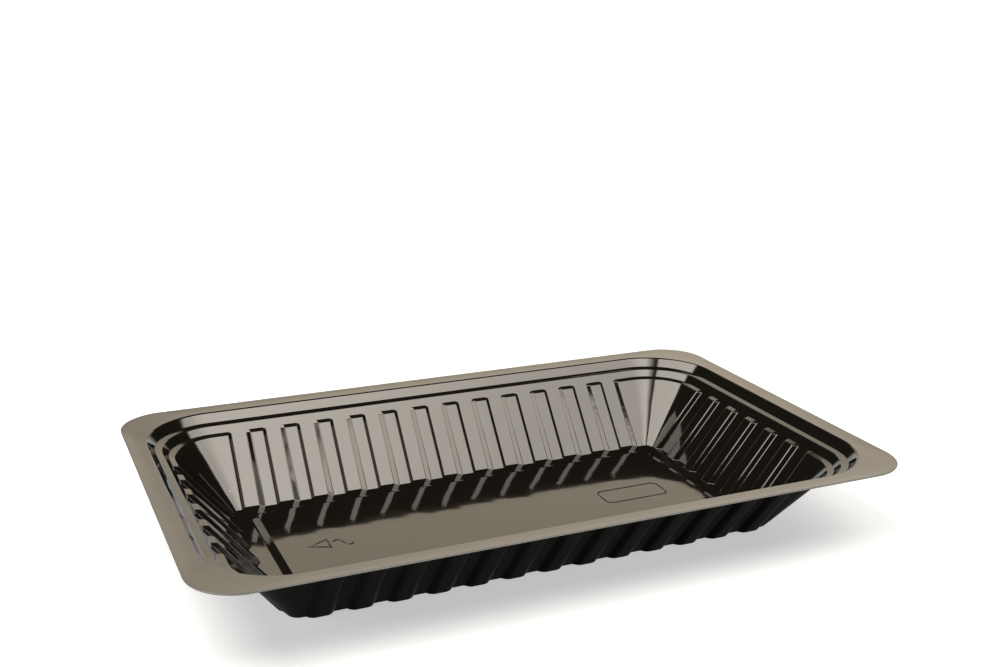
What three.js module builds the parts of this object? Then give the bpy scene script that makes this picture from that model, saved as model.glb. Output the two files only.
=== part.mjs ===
// Black plastic food tray, thermoformed from one sheet
import * as THREE from 'three';
import { toCreasedNormals } from 'three/addons/utils/BufferGeometryUtils.js';

// Overall size in millimetres: the long side lies along X, and the base stands on Z = 0
const trayLength = 240;
const trayWidth = 150.5;
const trayHeight = 29.5;
const sheet = 0.5; // thickness of the formed sheet
const draft = THREE.MathUtils.degToRad(39); // lean of the walls from upright

// Flange, and the lid step just inside it
const flangeWidth = 6.5;
const flangeCorner = 16; // corner radius of the trimmed outer edge
const openingCorner = 25.5; // corner radius where the flange turns down
const lidStepDepth = 3.4;
const ledgeWidth = 2.4;
const ledgeFall = 0.35;
const bandDepth = 2.5; // plain wall between the ledge and the tops of the ribs

// Ribs pressed inwards, with corner panels at the same level
const ribPitch = 12.87;
const ribFace = 4.5; // width of a rib's flat face
const ribSideRun = 1.5; // width of a rib's sloped side, along the wall
const ribDepth = 1.8; // how far a rib stands in from the wall, measured level
const ribTopFall = 0.4; // drop of a rib's sloped top
const panelMargin = 0.6; // least flat strip of a corner panel beside its bend

// Base: a gutter around a raised middle
const baseCorner = 4;
const gutterWidth = 5;
const middleRise = 1.05;
const middleStepRun = 2.4;
const middleCorner = 2.5;

// Bends: the radius on the inside of each bend in the sheet
const shoulderBend = 0.6;
const ledgeRootBend = 0.4;
const ledgeEdgeBend = 0.4;
const baseBend = 1;
const middleRootBend = 3;
const bendSteps = 3;
const cornerSteps = 8;

// Places on the section: inset from the outer edge, and height above the table
const floorHeight = sheet;
const shoulder = { inset: flangeWidth, height: trayHeight };
const ledgeRoot = {
  inset: shoulder.inset + lidStepDepth * Math.tan(draft),
  height: trayHeight - lidStepDepth,
};
const ledgeEdge = {
  inset: ledgeRoot.inset + ledgeWidth,
  height: ledgeRoot.height - ledgeFall,
};
const bandMiddle = ledgeEdge.height - bandDepth / 2;
const ribTopHeight = ledgeEdge.height - bandDepth;
const ribFaceHeight = ribTopHeight - ribTopFall;

// A point of the wall at a height, standing in from the plain wall by a distance
function onWall(height, standIn) {
  return {
    inset: ledgeEdge.inset + (ledgeEdge.height - height) * Math.tan(draft) + standIn,
    height,
  };
}

const ribFoot = onWall(floorHeight, ribDepth);
const middleRoot = { inset: ribFoot.inset + gutterWidth, height: floorHeight };
const middleEdge = {
  inset: middleRoot.inset + middleStepRun,
  height: floorHeight + middleRise,
};
const middle = { inset: trayWidth / 2, height: middleEdge.height };

// Inset of the centres that the rounded corners turn about, from the flange to the base
const openingCentre = flangeWidth + openingCorner;
const footCentre = ribFoot.inset + baseCorner;
const middleCentre = middleEdge.inset + middleCorner;

function wallCentre(height) {
  return THREE.MathUtils.mapLinear(height, ledgeEdge.height, floorHeight, openingCentre, footCentre);
}

// The section's corners from the outer edge inwards, where the wall stands in by a distance.
// Ribbed rows have points for every rib, and where they step, ribs and plain wall part.
function sectionCorners(standIn) {
  return [
    { inset: 0, height: trayHeight, centre: flangeCorner },
    { ...shoulder, centre: openingCentre, bend: shoulderBend },
    { ...ledgeRoot, centre: openingCentre, bend: ledgeRootBend },
    { ...ledgeEdge, centre: openingCentre, bend: ledgeEdgeBend },
    { ...onWall(bandMiddle, 0), centre: wallCentre(bandMiddle), ribbed: true },
    { ...onWall(ribTopHeight, 0), centre: wallCentre(ribTopHeight), ribbed: true },
    { ...onWall(ribFaceHeight, standIn), centre: wallCentre(ribFaceHeight), ribbed: true, steps: true },
    { ...onWall(floorHeight, standIn), centre: footCentre, bend: baseBend, ribbed: true, steps: true },
    { ...middleRoot, centre: middleCentre, bend: middleRootBend },
    { ...middleEdge, centre: middleCentre },
    { ...middle, centre: middleCentre },
  ];
}

function direction(from, to) {
  return new THREE.Vector2(to.inset - from.inset, to.height - from.height).normalize();
}

// Moves the section's line to the side of the sheet that lies the given distance below
function offsetCorners(corners, drop) {
  const normals = corners.slice(1).map((corner, index) => {
    const run = direction(corners[index], corner);
    return new THREE.Vector2(run.y, -run.x);
  });
  return corners.map((corner, index) => {
    const before = normals[Math.max(index - 1, 0)];
    const after = normals[Math.min(index, normals.length - 1)];
    const mitre = before.clone().add(after).normalize();
    const reach = drop / mitre.dot(before);
    return {
      ...corner,
      inset: corner.inset + mitre.x * reach,
      height: corner.height + mitre.y * reach,
    };
  });
}

// Rounds one corner of the section into a row of points
function roundCorner(before, corner, after, drop) {
  const arrive = direction(before, corner);
  const leave = direction(corner, after);
  const turn = Math.atan2(arrive.cross(leave), arrive.dot(leave));
  const radius = corner.bend + (turn > 0 ? drop : sheet - drop);
  const reach = radius * Math.tan(Math.abs(turn) / 2);
  const spoke = new THREE.Vector2(arrive.y, -arrive.x).multiplyScalar(Math.sign(turn) * radius);
  const hub = new THREE.Vector2(corner.inset, corner.height).addScaledVector(arrive, -reach).sub(spoke);
  return Array.from({ length: bendSteps + 1 }, (_, step) => {
    const point = spoke.clone().rotateAround(new THREE.Vector2(), turn * step / bendSteps).add(hub);
    return { ...corner, inset: point.x, height: point.y };
  });
}

// The section as rows of points, from the outer edge to the edge of the raised middle
function sectionRows(standIn, drop) {
  const corners = offsetCorners(sectionCorners(standIn), drop);
  return corners.slice(0, -1).flatMap((corner, index) => (
    corner.bend ? roundCorner(corners[index - 1], corner, corners[index + 1], drop) : [corner]
  ));
}

// Stations along one straight side where the wall changes between the plain wall and a rib
function ribStations(halfSide, pinch) {
  const gap = ribPitch - ribFace - 2 * ribSideRun;
  const room = 2 * (halfSide - footCentre - ribSideRun - panelMargin) - gap;
  const count = Math.max(Math.floor(room / ribPitch), 0);
  const halfFace = ribFace / 2 - pinch;
  const halfRib = halfFace + ribSideRun;
  const stations = [];
  const panelStart = (count + 1) * ribPitch / 2 - halfRib;
  stations.push({ along: -panelStart - ribSideRun, onRib: true }, { along: -panelStart, onRib: false });
  for (let rib = 0; rib < count; rib += 1) {
    const centre = (rib - (count - 1) / 2) * ribPitch;
    stations.push(
      { along: centre - halfRib, onRib: false },
      { along: centre - halfFace, onRib: true },
      { along: centre + halfFace, onRib: true },
      { along: centre + halfRib, onRib: false },
    );
  }
  stations.push({ along: panelStart, onRib: false }, { along: panelStart + ribSideRun, onRib: true });
  return stations;
}

// All stations around the tray, anticlockwise: the corner before each side, then the side's ribs
function trayStations(drop) {
  const rampAngle = Math.atan2(ribDepth * Math.cos(draft), ribSideRun);
  const pinch = drop * Math.tan(rampAngle / 2);
  return [0, 1, 2, 3].flatMap((side) => {
    const corner = Array.from({ length: cornerSteps + 1 }, (_, step) => (
      { turn: (Math.PI / 2) * (step / cornerSteps - 1), onRib: true }
    ));
    const ribs = ribStations((side % 2 === 0 ? trayLength : trayWidth) / 2, pinch);
    return [...corner, ...ribs].map((station) => ({ side, ...station }));
  }).map((station, order) => ({ order, ...station }));
}

// Where a station's section meets a row, in the tray's own axes
function placePoint(station, row) {
  const halfAlong = (station.side % 2 === 0 ? trayLength : trayWidth) / 2;
  const halfOut = (station.side % 2 === 0 ? trayWidth : trayLength) / 2;
  const radius = row.centre - row.inset;
  const onCorner = station.turn !== undefined;
  const along = onCorner ? radius * Math.sin(station.turn) - halfAlong + row.centre : station.along;
  const out = onCorner ? radius * Math.cos(station.turn) + halfOut - row.centre : halfOut - row.inset;
  const upright = new THREE.Vector3(0, 0, 1);
  return new THREE.Vector3(along, -out, row.height).applyAxisAngle(upright, station.side * Math.PI / 2);
}

// A mesh under construction: its points, and triangles as triples of point numbers
const points = [];
const triangles = [];

function addTriangle(facesUp, a, b, c) {
  triangles.push(...(facesUp ? [a, b, c] : [a, c, b]));
}

// Adds a closed ring of points; above and inside the ribs it only needs the corner arcs
function addRing(stations, wallRow, ribRow) {
  return stations
    .filter((station) => ribRow.ribbed || station.turn !== undefined)
    .map((station) => {
      points.push(placePoint(station, ribRow.steps && !station.onRib ? wallRow : ribRow));
      return { order: station.order, vertex: points.length - 1 };
    });
}

// Fills the strip between two rings; a ring with fewer points waits for the other to catch up
function joinRings(outer, inner, facesUp) {
  const steps = Math.max(outer.length, inner.length);
  let a = 0;
  let b = 0;
  for (let step = 0; step < steps; step += 1) {
    const nextA = (a + 1) % outer.length;
    const nextB = (b + 1) % inner.length;
    const level = outer[nextA].order === inner[nextB].order;
    if (level || outer.length === steps) {
      addTriangle(facesUp, outer[a].vertex, outer[nextA].vertex, inner[b].vertex);
      a = nextA;
    }
    if (level || inner.length === steps) {
      addTriangle(facesUp, outer[a].vertex, inner[nextB].vertex, inner[b].vertex);
      b = nextB;
    }
  }
}

// Fills a level area bounded by a ring, with or without a ring inside it
function fillLevel(outline, holes, facesUp) {
  const flat = (ring) => ring.map(({ vertex }) => new THREE.Vector2(points[vertex].x, points[vertex].y));
  const corners = [outline, ...holes].flat();
  const faces = THREE.ShapeUtils.triangulateShape(flat(outline), holes.map(flat));
  faces.forEach(([a, b, c]) => addTriangle(facesUp, corners[a].vertex, corners[b].vertex, corners[c].vertex));
}

// One face of the sheet, from the outer edge to the middle; returns its outermost ring
function addFace(drop) {
  const facesUp = drop === 0;
  const stations = trayStations(drop);
  const ribRows = sectionRows(ribDepth, drop);
  const wallRows = sectionRows(0, drop);
  const rings = ribRows.map((ribRow, index) => addRing(stations, wallRows[index], ribRow));
  rings.slice(1).forEach((ring, index) => {
    const leavesRibs = ribRows[index].ribbed && !ribRows[index + 1].ribbed;
    if (leavesRibs) {
      fillLevel(rings[index], [ring], facesUp);
    } else {
      joinRings(rings[index], ring, facesUp);
    }
  });
  fillLevel(rings.at(-1), [], facesUp);
  return rings[0];
}

function trayGeometry() {
  const upperEdge = addFace(0);
  const lowerEdge = addFace(sheet);
  joinRings(lowerEdge, upperEdge, true);
  const geometry = new THREE.BufferGeometry().setFromPoints(points);
  geometry.setIndex(triangles);
  return toCreasedNormals(geometry, draft / 2);
}

function blackPlastic() {
  return new THREE.MeshStandardMaterial({ color: 0x0b0b09, roughness: 0.18, metalness: 0 });
}

const tray = new THREE.Mesh(trayGeometry(), blackPlastic());
tray.name = 'tray';

const part = new THREE.Group();
part.add(tray);

export default part;
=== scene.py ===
import math

import bpy
from mathutils import Matrix, Vector


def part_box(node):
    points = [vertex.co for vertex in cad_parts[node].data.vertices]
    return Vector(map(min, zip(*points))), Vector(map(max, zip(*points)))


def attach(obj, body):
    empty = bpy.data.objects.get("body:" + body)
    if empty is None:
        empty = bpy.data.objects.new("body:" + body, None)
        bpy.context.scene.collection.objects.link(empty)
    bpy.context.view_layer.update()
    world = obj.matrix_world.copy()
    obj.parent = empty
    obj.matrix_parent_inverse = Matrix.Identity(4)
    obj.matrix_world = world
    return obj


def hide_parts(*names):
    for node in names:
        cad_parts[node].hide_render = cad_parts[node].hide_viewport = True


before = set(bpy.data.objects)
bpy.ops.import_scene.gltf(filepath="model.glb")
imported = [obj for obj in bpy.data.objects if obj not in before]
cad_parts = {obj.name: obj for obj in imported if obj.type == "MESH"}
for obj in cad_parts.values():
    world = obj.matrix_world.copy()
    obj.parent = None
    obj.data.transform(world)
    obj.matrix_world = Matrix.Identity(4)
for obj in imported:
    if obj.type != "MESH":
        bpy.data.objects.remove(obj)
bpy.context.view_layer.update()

mm = 0.001
corner = Vector(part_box("tray")[1])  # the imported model's far right top corner, in metres
print("frame: tray", [round(2 * corner.x / mm, 1), round(2 * corner.y / mm, 1), round(corner.z / mm, 1)])

# Black food tray, formed from one sheet. Lengths in millimetres, as in the part's source,
# with the finer rounding that the real sheet has at its bends.
trayForm = {
    "sheet": 0.5,
    "draft": 39,  # lean of the walls from upright, in degrees
    "flangeWidth": 6.5,
    "flangeDish": 0.3,  # how far the flange's inner edge lies below its outer edge
    "flangeCorner": 16,
    "openingCorner": 25.5,
    "lidStepDepth": 3.4,
    "ledgeWidth": 2.4,
    "ledgeFall": 0.35,
    "bandDepth": 2.5,
    "ribPitch": 12.87,
    "ribFace": 4.5,
    "ribSideRun": 1.5,
    "ribDepth": 1.8,
    "ribTopFall": 0.4,
    "ribTopCorner": 1.3,  # rounding of a rib's two top corners
    "rowShift": (0, 0, 0.9, 0),  # of each side's row of ribs, from the near side anticlockwise
    "panelMargin": 0.6,
    "baseCorner": 3.4,
    "gutterWidth": 5,
    "middleRise": 1.05,
    "middleStepRun": 2.4,
    "middleCorner": 2.5,
    # inside radius of each bend
    "rimBend": 0.12,
    "shoulderBend": 0.6,
    "ledgeRootBend": 0.4,
    "ledgeEdgeBend": 0.3,
    "ribTopRootBend": 0.3,
    "ribTopEdgeBend": 0.15,
    "ribRootBend": 0.6,
    "ribEdgeBend": 0.3,
    "outsideRootEase": 2,  # the ribs are softer on the outside of the sheet
    "outsideEdgeEase": 0.3,
    "baseBend": 0.6,
    "middleRootBend": 2.5,
    "middleEdgeBend": 0.2,
    # fineness
    "rimSteps": 2,
    "bendSteps": 4,
    "cornerSteps": 24,
    "flangeSteps": 4,
    "lineEnd": 2,  # plain stretch past the last bend of a line
}

halfLength = corner.x / mm
halfWidth = corner.y / mm
trayHeight = corner.z / mm
sheet = trayForm["sheet"]
lean = math.tan(math.radians(trayForm["draft"]))
bendSteps = trayForm["bendSteps"]

# Places on the section: (inset from the outer edge, height above the table)
shoulder = Vector((trayForm["flangeWidth"], trayHeight - trayForm["flangeDish"]))
ledgeInset = trayForm["flangeWidth"] + trayForm["lidStepDepth"] * lean
ledgeRoot = Vector((ledgeInset, trayHeight - trayForm["lidStepDepth"]))
ledgeEdge = ledgeRoot + Vector((trayForm["ledgeWidth"], -trayForm["ledgeFall"]))
ribTopHeight = ledgeEdge.y - trayForm["bandDepth"]
ribFaceHeight = ribTopHeight - trayForm["ribTopFall"]


# A point of the wall at a height, standing in from the plain wall by a distance
def onWall(height, standIn):
    return Vector((ledgeEdge.x + (ledgeEdge.y - height) * lean + standIn, height))


ribFoot = onWall(sheet, trayForm["ribDepth"])
middleRoot = ribFoot + Vector((trayForm["gutterWidth"], 0))
middleEdge = middleRoot + Vector((trayForm["middleStepRun"], trayForm["middleRise"]))

# Insets of the centres that the rounded corners turn about
openingCentre = trayForm["flangeWidth"] + trayForm["openingCorner"]
footCentre = ribFoot.x + trayForm["baseCorner"]
middleCentre = middleEdge.x + trayForm["middleCorner"]


def wallCentre(height):
    share = (ledgeEdge.y - height) / (ledgeEdge.y - sheet)
    return openingCentre + share * (footCentre - openingCentre)


# Rounds the corners (x, y, radius) of a line: each becomes a short group of points
def roundLine(corners, steps):
    groups = []
    for index, (x, y, radius) in enumerate(corners):
        here = Vector((x, y))
        if not radius or index in (0, len(corners) - 1):
            groups.append([here])
            continue
        arrive = (here - Vector(corners[index - 1][:2])).normalized()
        leave = (Vector(corners[index + 1][:2]) - here).normalized()
        turn = math.atan2(arrive.x * leave.y - arrive.y * leave.x, arrive.dot(leave))
        spoke = Vector((arrive.y, -arrive.x)) * math.copysign(radius, turn)
        hub = here - arrive * radius * math.tan(abs(turn) / 2) - spoke
        turns = [Matrix.Rotation(turn * step / steps, 2) for step in range(steps + 1)]
        groups.append([hub + part @ spoke for part in turns])
    return groups


# Moves a line sideways, mitred at its corners
def offsetLine(points, distance):
    runs = [(after - before).normalized() for before, after in zip(points, points[1:])]
    normals = [Vector((run.y, -run.x)) for run in runs]
    moved = []
    for index, point in enumerate(points):
        before = normals[max(index - 1, 0)]
        after = normals[min(index, len(normals) - 1)]
        mitre = (before + after).normalized()
        moved.append(point + mitre * (distance / mitre.dot(before)))
    return moved


# The flange is slightly dished: its slope eases off from the outer edge to the opening
def flangeLine():
    steps = trayForm["flangeSteps"]
    rimCentre = trayForm["flangeCorner"]
    line = []
    for step in range(steps):
        share = step / steps
        height = trayHeight - trayForm["flangeDish"] * (1 - (1 - share) ** 2)
        centre = rimCentre + share * (openingCentre - rimCentre)
        line.append((Vector((shoulder.x * share, height)), centre))
    return line


# Corners of the section where the wall stands in by a distance: (place, centre inset of its corner
# arcs, bend, way it turns, part of the section)
def sectionCorners(standIn):
    ribTop = onWall(ribTopHeight, 0)
    ribFace = onWall(ribFaceHeight, standIn)
    middle = middleEdge + Vector((trayForm["lineEnd"], 0))
    corners = [(point, centre, 0, 0, "flange") for point, centre in flangeLine()]
    return corners + [
        (shoulder, openingCentre, trayForm["shoulderBend"], -1, "step"),
        (ledgeRoot, openingCentre, trayForm["ledgeRootBend"], 1, "step"),
        (ledgeEdge, openingCentre, trayForm["ledgeEdgeBend"], -1, "step"),
        (ribTop, wallCentre(ribTopHeight), trayForm["ribTopRootBend"], 1, "ribTop"),
        (ribFace, wallCentre(ribFaceHeight), trayForm["ribTopEdgeBend"], -1, "ribTop"),
        (onWall(sheet, standIn), footCentre, trayForm["baseBend"], 1, "foot"),
        (middleRoot, middleCentre, trayForm["middleRootBend"], 1, "base"),
        (middleEdge, middleCentre, trayForm["middleEdgeBend"], -1, "base"),
        (middle, middleCentre, 0, 0, "base"),
    ]


# Rows of the section from the rim to the raised middle, on the inside of the sheet (drop 0) or its
# outside (drop sheet). Each is (inset, height, centre inset of its corner arcs, part of the section).
def sectionRows(standIn, drop):
    corners = sectionCorners(standIn)
    moved = offsetLine([entry[0] for entry in corners], drop)
    line = []
    for point, (_, _, bend, way, _) in zip(moved, corners):
        growth = drop if way > 0 else sheet - drop  # keeps the sheet's two faces parallel in a bend
        line.append((point.x, point.y, bend + growth if way else 0))
    rows = []
    for group, (_, centre, _, _, part) in zip(roundLine(line, bendSteps), corners):
        rows += [(point.x, point.y, centre, part) for point in group]
    return rimRows(rows[0], drop) + rows[1:]


# The cut edge of the rim, a little rounded
def rimRows(first, drop):
    bend = trayForm["rimBend"]
    steps = trayForm["rimSteps"]
    side = 1 if drop else -1
    rows = []
    for step in range(steps + 1):
        turn = math.pi / 2 * step / steps
        height = first[1] + side * bend * (1 - math.sin(turn))
        rows.append((bend * (1 - math.cos(turn)), height, first[2], "flange"))
    return rows


# One side of a rib: (distance from the rib's middle, share of its depth)
def ribSide(drop):
    depth = trayForm["ribDepth"] * math.cos(math.radians(trayForm["draft"]))
    pinch = drop * math.tan(math.atan2(depth, trayForm["ribSideRun"]) / 2)
    halfFace = trayForm["ribFace"] / 2 - pinch
    halfRib = halfFace + trayForm["ribSideRun"]
    rootEase = trayForm["outsideRootEase"] if drop else 0
    edgeEase = trayForm["outsideEdgeEase"] if drop else 0
    line = [
        (-halfRib - trayForm["lineEnd"], 0, 0),
        (-halfRib, 0, trayForm["ribRootBend"] + drop + rootEase),
        (-halfFace, depth, trayForm["ribEdgeBend"] + sheet - drop + edgeEase),
        (0, depth, 0),
    ]
    groups = roundLine(line, bendSteps)
    return [(point.x, point.y / depth) for group in groups[1:3] for point in group]


# Stations along one side of the tray: (place along it, share of a rib's depth, lowering of its top)
def sideStations(halfSide, drop):
    pitch = trayForm["ribPitch"]
    gap = pitch - trayForm["ribFace"] - 2 * trayForm["ribSideRun"]
    room = 2 * (halfSide - footCentre - trayForm["ribSideRun"] - trayForm["panelMargin"]) - gap
    count = int(room // pitch)
    bend = trayForm["ribTopCorner"]
    side = ribSide(drop)
    rise = []
    for along, depth in side:
        short = bend - min(along - side[0][0], bend)
        rise.append((along, depth, bend - math.sqrt(bend ** 2 - short ** 2)))
    fall = [(-along, depth, lower) for along, depth, lower in reversed(rise)]
    stations = []
    for index in range(-1, count + 1):
        middle = (index - (count - 1) / 2) * pitch
        outline = ([] if index < 0 else rise) + ([] if index == count else fall)
        stations += [(middle + along, depth, lower) for along, depth, lower in outline]
    return stations


# Both lines of the section on one face of the sheet: (plain wall's row, rib's row)
def faceRows(drop):
    ribRows = sectionRows(trayForm["ribDepth"], drop)
    wallRows = sectionRows(0, drop)
    top = next(row for row in wallRows if row[3] == "ribTop")
    rows = []
    for ribRow, wallRow in zip(ribRows, wallRows):
        if ribRow[3] == "ribTop":
            wallRow = (top[0] + (top[1] - ribRow[1]) * lean, *ribRow[1:])
        rows.append((wallRow, ribRow))
    return rows


# The rounded corner before a side: (place along the side, distance out from the middle, height)
def cornerPoints(ribRow, halfAlong, halfOut):
    inset, height, centre, _ = ribRow
    radius = centre - inset
    steps = trayForm["cornerSteps"]
    points = []
    for step in range(steps + 1):
        turn = math.pi / 2 * (step / steps - 1)
        along = radius * math.sin(turn) - halfAlong + centre
        out = radius * math.cos(turn) + halfOut - centre
        points.append((along, out, height))
    return points


# The side itself, with its ribs, in the same measures
def sidePoints(wallRow, ribRow, halfAlong, halfOut, shift, drop):
    inset, height, centre, part = ribRow
    squeeze = min(1, (halfAlong - centre) / (halfAlong - footCentre))
    points = []
    for place, depth, lower in sideStations(halfAlong, drop):
        share = depth if part in ("ribTop", "foot") else 1
        fall = lower if part == "ribTop" else 0
        rowInset = wallRow[0] + share * (inset - wallRow[0]) + fall * lean
        rowHeight = wallRow[1] + share * (height - wallRow[1]) - fall
        points.append(((place + shift) * squeeze, halfOut - rowInset, rowHeight))
    return points


# One closed ring of points around the tray, anticlockwise from the near side's left corner
def ringPoints(wallRow, ribRow, drop):
    points = []
    for side, shift in enumerate(trayForm["rowShift"]):
        halfAlong, halfOut = (halfLength, halfWidth) if side % 2 == 0 else (halfWidth, halfLength)
        flat = cornerPoints(ribRow, halfAlong, halfOut)
        flat += sidePoints(wallRow, ribRow, halfAlong, halfOut, shift, drop)
        turnSide = Matrix.Rotation(side * math.pi / 2, 3, "Z")
        points += [turnSide @ Vector((along, -out, up)) * mm for along, out, up in flat]
    return points


def joinRings(lower, upper, flip):
    faces = []
    for index in range(len(lower)):
        after = (index + 1) % len(lower)
        face = (lower[index], lower[after], upper[after], upper[index])
        faces.append(face[::-1] if flip else face)
    return faces


# Smooth shading in which the large flat faces stay flat and only the bends turn
def makePiece(name, points, faces):
    mesh = bpy.data.meshes.new(name)
    mesh.from_pydata([point[:] for point in points], [], faces)
    mesh.validate()
    mesh.shade_smooth()
    sums = [Vector() for _ in mesh.vertices]
    for face in mesh.polygons:
        for index in face.vertices:
            sums[index] += face.normal * face.area * 1e6  # areas in square millimetres
    mesh.normals_split_custom_set_from_vertices([total.normalized() for total in sums])
    piece = bpy.data.objects.new(name, mesh)
    bpy.context.collection.objects.link(piece)
    return piece


def buildTray():
    # the outside of the sheet takes the dull material with painted shade: a darker colour and almost no
    # reflection
    gloss, shadedDull, satin = range(3)  # places in the tray's list of materials
    points = []
    faces = []
    finishes = []
    rims = []
    for drop in (0, sheet):
        plain = shadedDull if drop else gloss
        rings = []
        parts = []
        for wallRow, ribRow in faceRows(drop):
            ring = ringPoints(wallRow, ribRow, drop)
            rings.append(list(range(len(points), len(points) + len(ring))))
            points += ring
            parts.append(ribRow[3])
        for outer, inner, part in zip(rings, rings[1:], parts):
            faces += joinRings(outer, inner, drop > 0)
            finishes += [satin if part == "flange" and not drop else plain] * len(outer)
        faces.append(rings[-1][::-1] if drop else rings[-1])
        finishes.append(plain)
        rims.append(rings[0])
    faces += joinRings(rims[1], rims[0], False)
    finishes += [satin] * len(rims[0])
    piece = makePiece("formed_tray", points, faces)
    for face, finish in zip(piece.data.polygons, finishes):
        face.material_index = finish
    return piece


tray = buildTray()
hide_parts("tray")
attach(tray, "root")
print("tray:", len(tray.data.polygons), "faces")

# Low marks moulded on the raised middle: a triangle, a short wave and an empty frame
marks = {
    "width": 0.75,
    "profile": ((-0.5, -0.03), (-0.2, 0.16), (0.2, 0.16), (0.5, -0.03)),  # (share of the width, height)
    "triangle": [(-68.4, 1.2), (-61.8, 4.5), (-61.8, -1.7)],
    "wave": [(-60.2, 1.9), (-59.2, 2.9), (-58.0, 2.8), (-57.2, 1.4),
             (-56.6, -0.4), (-55.8, -1.8), (-54.6, -1.9), (-53.7, -0.8)],
    "frame": [(43, -6), (65, -6), (66.5, -4.5), (66.5, 3), (65, 4.5), (43, 4.5), (41.5, 3), (41.5, -4.5)],
}


# Points of a low ridge along a line drawn on the tray's middle
def ridgePoints(line, closed):
    level = sheet + trayForm["middleRise"]
    last = len(line) - 1
    points = []
    for index in range(len(line)):
        here = Vector(line[index])
        before = (here - Vector(line[index - 1])).normalized()
        after = (Vector(line[(index + 1) % len(line)]) - here).normalized()
        if not closed and index in (0, last):
            before = after = before if index else after
        along = (before + after).normalized()
        across = Vector((along.y, -along.x)) / along.dot(before)
        for side, up in marks["profile"]:
            spot = here + across * side * marks["width"]
            points.append(Vector((spot.x, spot.y, level + up)) * mm)
    return points


def ridgeFaces(count, closed):
    size = len(marks["profile"])
    faces = []
    for index in range(count if closed else count - 1):
        first = size * index
        second = size * ((index + 1) % count)
        for side in range(size):
            after = (side + 1) % size
            faces.append((first + side, first + after, second + after, second + side))
    if not closed:
        faces += [tuple(reversed(range(size))), tuple(range(size * (count - 1), size * count))]
    return faces


def buildMarks():
    points = []
    faces = []
    for line, closed in ((marks["triangle"], True), (marks["wave"], False), (marks["frame"], True)):
        faces += [tuple(index + len(points) for index in side) for side in ridgeFaces(len(line), closed)]
        points += ridgePoints(line, closed)
    return makePiece("moulded_marks", points, faces)


mouldedMarks = buildMarks()
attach(mouldedMarks, "root")
print("marks:", len(mouldedMarks.data.polygons), "faces")


# A new material and its node tree
def newMaterial(name):
    material = bpy.data.materials.new(name)
    material.use_nodes = True
    return material, material.node_tree


# The next five add a node to a tree and return its output
def combine(tree, operation, first, second):
    node = tree.nodes.new("ShaderNodeMath")
    node.operation = operation
    for socket, value in zip(node.inputs, (first, second)):
        if isinstance(value, bpy.types.NodeSocket):
            tree.links.new(value, socket)
        else:
            socket.default_value = value
    return node.outputs["Value"]


def ramp(tree, value, ends, levels=(0, 1), curve="SMOOTHSTEP"):
    node = tree.nodes.new("ShaderNodeMapRange")
    node.interpolation_type = curve
    for name, number in zip(("From Min", "From Max", "To Min", "To Max"), (*ends, *levels)):
        node.inputs[name].default_value = number
    tree.links.new(value, node.inputs["Value"])
    return node.outputs["Result"]


def noise(tree, place, scale, detail):
    node = tree.nodes.new("ShaderNodeTexNoise")
    node.inputs["Scale"].default_value = scale
    node.inputs["Detail"].default_value = detail
    tree.links.new(place, node.inputs["Vector"])
    return node.outputs["Fac"]


def bump(tree, height, strength, distance, under=None):
    node = tree.nodes.new("ShaderNodeBump")
    node.inputs["Strength"].default_value = strength
    node.inputs["Distance"].default_value = distance
    tree.links.new(height, node.inputs["Height"])
    if under is not None:
        tree.links.new(under, node.inputs["Normal"])
    return node.outputs["Normal"]


def mixColours(tree, share, first, second):
    node = tree.nodes.new("ShaderNodeMix")
    node.data_type = "RGBA"
    node.inputs["A"].default_value = first
    node.inputs["B"].default_value = second
    tree.links.new(share, node.inputs["Factor"])
    return node.outputs["Result"]


# Black plastic: gloss inside, satin on the flange, duller underneath. The outside of the sheet also
# carries painted shade: a darker colour and almost no reflection stand in for the shade beneath the
# flange
plastic = {
    "colour": (0.0062, 0.0056, 0.0042, 1),
    "refraction": 1.7,
    "roughness": (0.045, 0.085),
    "specular": 0.62,
    "satinRoughness": (0.2, 0.28),
    "satinSpecular": 1,
    "satinCoat": 0.6,
    # painted shade on the outside of the sheet: a darker colour and an almost zero specular level
    "underShadeColour": (0.0034, 0.003, 0.0026, 1),
    "underShadeSpecular": 0.004,
    "underRoughness": (0.3, 0.4),
    "hazeScale": 45,  # patches of duller and brighter gloss
    "hazeDetail": 5,
    "dustColour": (0.5, 0.47, 0.42, 1),
    "dustScale": 260,
    "dustSize": (0.07, 0.045),  # a grain's faded edge and its full middle, in cells
    "dustRarity": 0.9,  # the closer to 1, the fewer cells hold a grain
    "lineStretch": (22, 22, 700),  # draw lines run level around the walls
    "lineDetail": 3,
    "lineStrength": 0.8,
    "lineHeight": 0.00001,
    "swellScale": 75,  # broad unevenness of the sheet
    "swellDetail": 1,
    "swellStrength": 0.6,
    "swellHeight": 0.0002,
}


def unevenGloss(tree, place, roughness):
    haze = noise(tree, place, plastic["hazeScale"], plastic["hazeDetail"])
    return ramp(tree, haze, (0, 1), roughness, "LINEAR")


# Sparse grains of dust over a colour
def dustyColour(tree, place, colour):
    cells = tree.nodes.new("ShaderNodeTexVoronoi")
    cells.inputs["Scale"].default_value = plastic["dustScale"]
    tree.links.new(place, cells.inputs["Vector"])
    grain = ramp(tree, cells.outputs["Distance"], plastic["dustSize"], curve="LINEAR")
    chosen = combine(tree, "GREATER_THAN", cells.outputs["Color"], plastic["dustRarity"])
    return mixColours(tree, combine(tree, "MULTIPLY", grain, chosen), colour, plastic["dustColour"])


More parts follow.
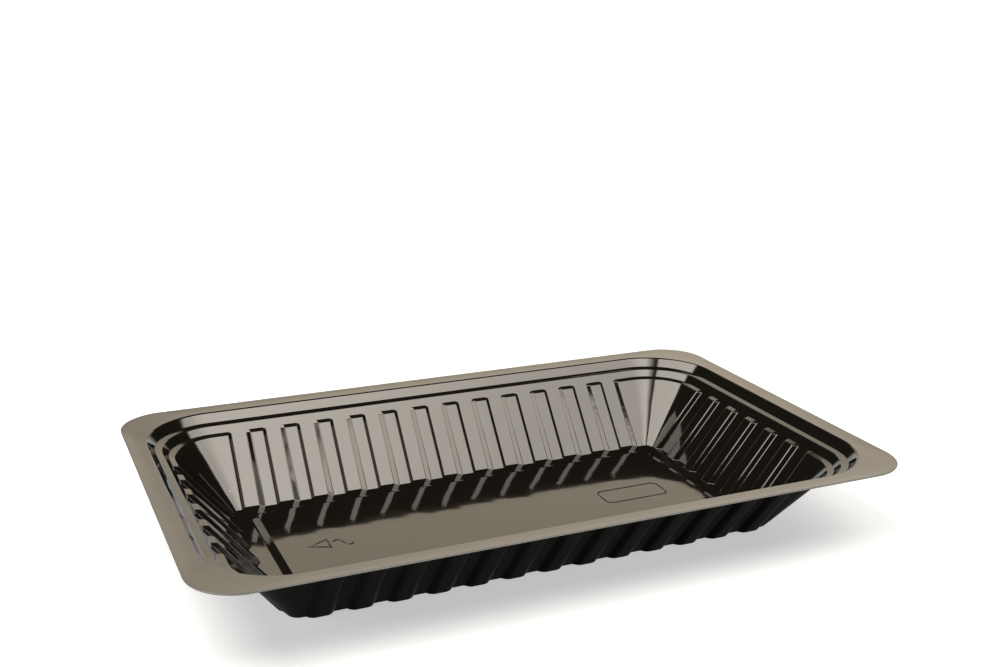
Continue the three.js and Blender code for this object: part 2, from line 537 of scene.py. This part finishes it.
# Fine draw lines in the walls and the sheet's broad unevenness
def unevenSheet(tree, place):
    stretch = tree.nodes.new("ShaderNodeMapping")
    stretch.inputs["Scale"].default_value = plastic["lineStretch"]
    tree.links.new(place, stretch.inputs["Vector"])
    lines = noise(tree, stretch.outputs["Vector"], 1, plastic["lineDetail"])
    fine = bump(tree, lines, plastic["lineStrength"], plastic["lineHeight"])
    swell = noise(tree, place, plastic["swellScale"], plastic["swellDetail"])
    return bump(tree, swell, plastic["swellStrength"], plastic["swellHeight"], fine)


def plasticMaterial(name, colour, roughness, specular):
    material, tree = newMaterial(name)
    shader = tree.nodes["Principled BSDF"]
    shader.inputs["IOR"].default_value = plastic["refraction"]
    shader.inputs["Specular IOR Level"].default_value = specular
    place = tree.nodes.new("ShaderNodeTexCoord").outputs["Object"]
    tree.links.new(unevenGloss(tree, place, roughness), shader.inputs["Roughness"])
    tree.links.new(dustyColour(tree, place, colour), shader.inputs["Base Color"])
    tree.links.new(unevenSheet(tree, place), shader.inputs["Normal"])
    return material


def glossPlastic():
    return plasticMaterial("gloss_black_plastic", plastic["colour"], plastic["roughness"],
                           plastic["specular"])


# The outside of the sheet: duller, with painted shade in a darker colour and almost no reflection
def dullShadedPlastic():
    return plasticMaterial("dull_black_underside_with_painted_shade", plastic["underShadeColour"], plastic["underRoughness"],
                           plastic["underShadeSpecular"])


def satinPlastic():
    material = plasticMaterial("satin_black_flange", plastic["colour"], plastic["satinRoughness"],
                               plastic["satinSpecular"])
    shader = material.node_tree.nodes["Principled BSDF"]
    shader.inputs["Coat Weight"].default_value = plastic["satinCoat"]
    shader.inputs["Coat Roughness"].default_value = plastic["satinRoughness"][0]
    return material


for material in (glossPlastic(), dullShadedPlastic(), satinPlastic()):
    tray.data.materials.append(material)
mouldedMarks.data.materials.append(tray.data.materials[0])
print("plastic:", len(tray.data.materials), "finishes")

# Camera, solved from the photograph's straight edges
view = {
    "place": Vector((-166.74, -376.13, 189.95)) * mm,
    "turn": math.radians(-23.91),
    "dip": math.radians(16.39),
    "roll": math.radians(0.566),
    "lens": 45.33,
    "sensor": 36,
    "nearClip": 0.01,
}


def makeCamera():
    data = bpy.data.cameras.new("camera")
    data.lens = view["lens"]
    data.sensor_width = view["sensor"]
    data.clip_start = view["nearClip"]
    camera = bpy.data.objects.new("camera", data)
    bpy.context.collection.objects.link(camera)
    turn = Matrix.Rotation(view["turn"], 4, "Z")
    tilt = Matrix.Rotation(math.pi / 2 - view["dip"], 4, "X")
    roll = Matrix.Rotation(view["roll"], 4, "Z")
    camera.matrix_world = Matrix.Translation(view["place"]) @ turn @ tilt @ roll
    bpy.context.scene.camera = camera


makeCamera()
print("camera: ready")


# Corners of a level card at a height. A spot is where the tray's middle sees the corner one metre up.
def overhead(height, spots):
    return [(x * height, y * height, height) for x, y in spots]


# Two softboxes overhead and a low one on the left. Each fades over a share of its width at its left,
# right, bottom and top edges, and may dim towards its right half.
softboxes = {
    "front_softbox": {
        "corners": overhead(0.95, ((-0.15, -0.85), (1.5, -0.85), (1.5, -0.1), (-0.15, -0.16))),
        "light": 5.2,
        "fades": (0.15, 0.2, 0.06, 0.12),
        "dim": 0.7,
    },
    "left_softbox": {
        "corners": overhead(0.95, ((-1.04, -0.7), (-0.15, -0.7), (-0.15, 0.85), (-1.04, 0.85))),
        "light": 4.6,
        "fades": (0.06, 0.06, 0.08, 0.1),
        "dim": 1,
    },
    "low_softbox": {
        "corners": [(-1, -0.6, 0.36), (-1, 0.02, 0.36), (-1, 0.02, 0.73), (-1, -0.6, 0.73)],
        "light": 3.8,
        "fades": (0.1, 0.1, 0.1, 0.1),
        "dim": 1,
    },
}
lamps = {
    "colour": (1, 0.92, 0.81, 1),
    "dimEnds": (0.5, 0.15),  # across a box, from where it is dimmed to where it has its full light
}


# A material without a shader: (material, its node tree, its surface socket)
def emptyMaterial(name):
    material, tree = newMaterial(name)
    tree.nodes.clear()
    return material, tree, tree.nodes.new("ShaderNodeOutputMaterial").inputs["Surface"]


def softboxMaterial(name, box):
    material, tree, surface = emptyMaterial(name)
    parts = tree.nodes.new("ShaderNodeSeparateXYZ")
    tree.links.new(tree.nodes.new("ShaderNodeUVMap").outputs["UV"], parts.inputs["Vector"])
    left, right, bottom, top = box["fades"]
    edges = [
        ("X", (0, left), 0),
        ("X", (1, 1 - right), 0),
        ("Y", (0, bottom), 0),
        ("Y", (1, 1 - top), 0),
        ("X", lamps["dimEnds"], box["dim"]),
    ]
    strength = box["light"]
    for axis, ends, least in edges:
        strength = combine(tree, "MULTIPLY", strength, ramp(tree, parts.outputs[axis], ends, (least, 1)))
    glow = tree.nodes.new("ShaderNodeEmission")
    glow.inputs["Color"].default_value = lamps["colour"]
    tree.links.new(strength, glow.inputs["Strength"])
    tree.links.new(glow.outputs["Emission"], surface)
    return material


def makeSoftbox(name, box):
    card = makePiece(name, [Vector(point) for point in box["corners"]], [(0, 1, 2, 3)])
    uv = card.data.uv_layers.new(name="UVMap")
    for loop, value in zip(uv.data, ((0, 0), (1, 0), (1, 1), (0, 1))):
        loop.uv = value
    card.data.materials.append(softboxMaterial(name, box))


for boxName, box in softboxes.items():
    makeSoftbox(boxName, box)
print("softboxes:", len(softboxes))

# White floor. The lamps light it near the tray, and its own glow takes over further off.
ground = {
    "half": 8,
    "drop": 0.05,  # below the tray's foot, in millimetres
    "colour": (0.72, 0.76, 0.81, 1),
    "glow": (0.5, 1),  # near the tray and far from it
    "glowEnds": (0.15, 0.9),
}


# Strength of the floor's glow: seen directly and in reflections, but lighting nothing else
def floorGlow(tree):
    rays = tree.nodes.new("ShaderNodeLightPath").outputs
    seen = combine(tree, "MAXIMUM", rays["Is Camera Ray"], rays["Is Glossy Ray"])
    seen = combine(tree, "MAXIMUM", seen, rays["Is Transmission Ray"])
    distance = tree.nodes.new("ShaderNodeVectorMath")
    distance.operation = "LENGTH"
    tree.links.new(tree.nodes.new("ShaderNodeTexCoord").outputs["Object"], distance.inputs[0])
    away = ramp(tree, distance.outputs["Value"], ground["glowEnds"], ground["glow"])
    return combine(tree, "MULTIPLY", seen, away)


def floorMaterial():
    material, tree, surface = emptyMaterial("pale_floor")
    matte = tree.nodes.new("ShaderNodeBsdfDiffuse")
    matte.inputs["Color"].default_value = ground["colour"]
    glow = tree.nodes.new("ShaderNodeEmission")
    tree.links.new(floorGlow(tree), glow.inputs["Strength"])
    both = tree.nodes.new("ShaderNodeAddShader")
    tree.links.new(matte.outputs["BSDF"], both.inputs[0])
    tree.links.new(glow.outputs["Emission"], both.inputs[1])
    tree.links.new(both.outputs["Shader"], surface)
    return material


def makeFloor():
    half = ground["half"]
    level = -ground["drop"] * mm
    corners = [(-half, -half, level), (half, -half, level), (half, half, level), (-half, half, level)]
    floor = makePiece("floor", [Vector(point) for point in corners], [(0, 1, 2, 3)])
    floor.data.materials.append(floorMaterial())


makeFloor()
print("floor: ready")

# World: a dim room, white at the horizon, with a bright sweep beyond the tray
studio = {
    "room": 0.02,
    "horizon": (0.24, 0.15),  # heights of a direction between which the room turns white
    "horizonColour": (1, 1, 1, 1),
    "sweep": 1.1,
    "sweepColour": (1, 0.87, 0.67, 1),
    "sweepTurn": math.radians(27),
    "sweepTop": math.radians(33),
    "sweepTopFade": (0.02, -0.03),
    "sweepHalf": math.radians(22),
    "sweepSideFade": (0.03, -0.13),
    "sweepAhead": (0.2, 0.4),
}


# How far the world's direction goes along an axis
def towards(tree, direction, axis):
    dot = tree.nodes.new("ShaderNodeVectorMath")
    dot.operation = "DOT_PRODUCT"
    dot.inputs[1].default_value = axis
    tree.links.new(direction, dot.inputs[0])
    return dot.outputs["Value"]


def sweepLight(tree, direction, height):
    ahead = Vector((math.sin(studio["sweepTurn"]), math.cos(studio["sweepTurn"]), 0))
    side = tree.nodes.new("ShaderNodeMath")
    side.operation = "ABSOLUTE"
    tree.links.new(towards(tree, direction, Vector((ahead.y, -ahead.x, 0))), side.inputs[0])
    topEnds = [math.sin(studio["sweepTop"]) + fade for fade in studio["sweepTopFade"]]
    sideEnds = [math.sin(studio["sweepHalf"]) + fade for fade in studio["sweepSideFade"]]
    below = ramp(tree, height, topEnds)
    between = ramp(tree, side.outputs["Value"], sideEnds)
    beyond = ramp(tree, towards(tree, direction, ahead), studio["sweepAhead"], (0, studio["sweep"]))
    return combine(tree, "MULTIPLY", combine(tree, "MULTIPLY", below, between), beyond)


def makeWorld():
    world = bpy.data.worlds.new("studio")
    world.use_nodes = True
    tree = world.node_tree
    background = tree.nodes["Background"]
    direction = tree.nodes.new("ShaderNodeTexCoord").outputs["Generated"]
    height = towards(tree, direction, (0, 0, 1))
    sweep = sweepLight(tree, direction, height)
    room = ramp(tree, height, studio["horizon"], (studio["room"], 1))
    tree.links.new(combine(tree, "MAXIMUM", sweep, room), background.inputs["Strength"])
    white = ramp(tree, height, studio["horizon"])
    colour = mixColours(tree, white, studio["sweepColour"], studio["horizonColour"])
    tree.links.new(colour, background.inputs["Color"])
    bpy.context.scene.world = world


makeWorld()
bpy.context.scene.view_settings.view_transform = "Standard"
print("world: ready")
